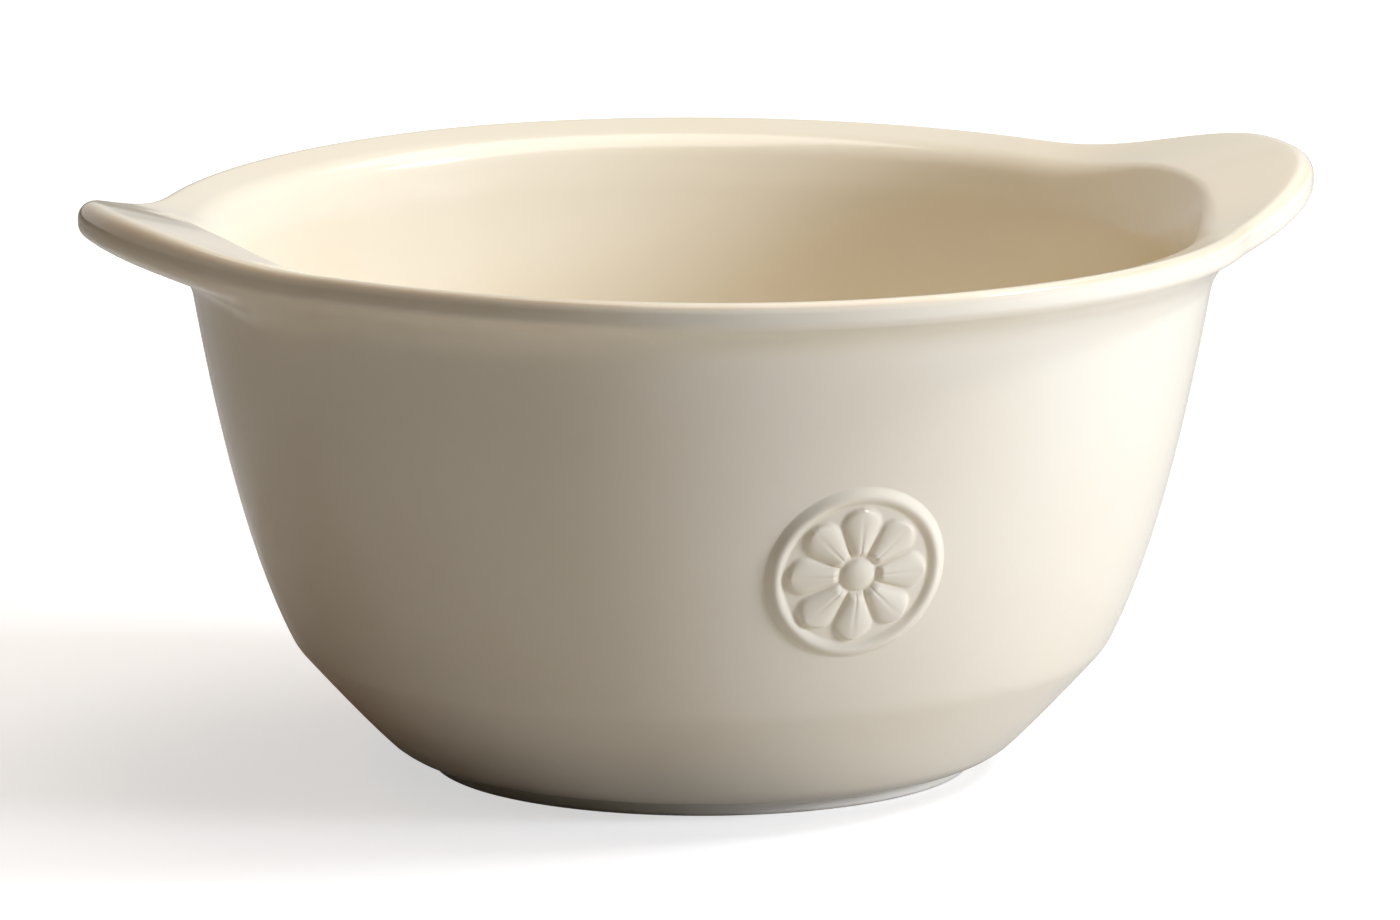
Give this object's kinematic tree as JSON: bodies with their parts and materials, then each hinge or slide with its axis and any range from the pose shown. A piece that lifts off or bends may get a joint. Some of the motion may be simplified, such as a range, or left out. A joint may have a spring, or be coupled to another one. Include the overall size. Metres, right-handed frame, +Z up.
{
  "type": "gratin bowl",
  "caption": "Deep round gratin bowl of cream glazed ceramic, with a swelling wall, a flared rim pulled out into lug ears, a low foot ring and a small relief seal",
  "frame": {"origin": "centre of the foot ring's tread, on the bowl's axis, in the plane that it stands on", "axes": "+Z up along the bowl's axis, +X through the middle of the right ear, the seal faces -Y"},
  "size_m": [0.1692, 0.147, 0.0793],
  "materials": {
    "glaze": "glossy cream glaze",
    "foot_clay": "pale clay, glazed on its side and bare on its tread"
  },
  "bodies": {
    "root": {"bowl_body": "glaze", "right_ear": "glaze", "left_ear": "glaze", "foot_ring": "foot_clay", "seal": "glaze"}
  },
  "joints": []
}
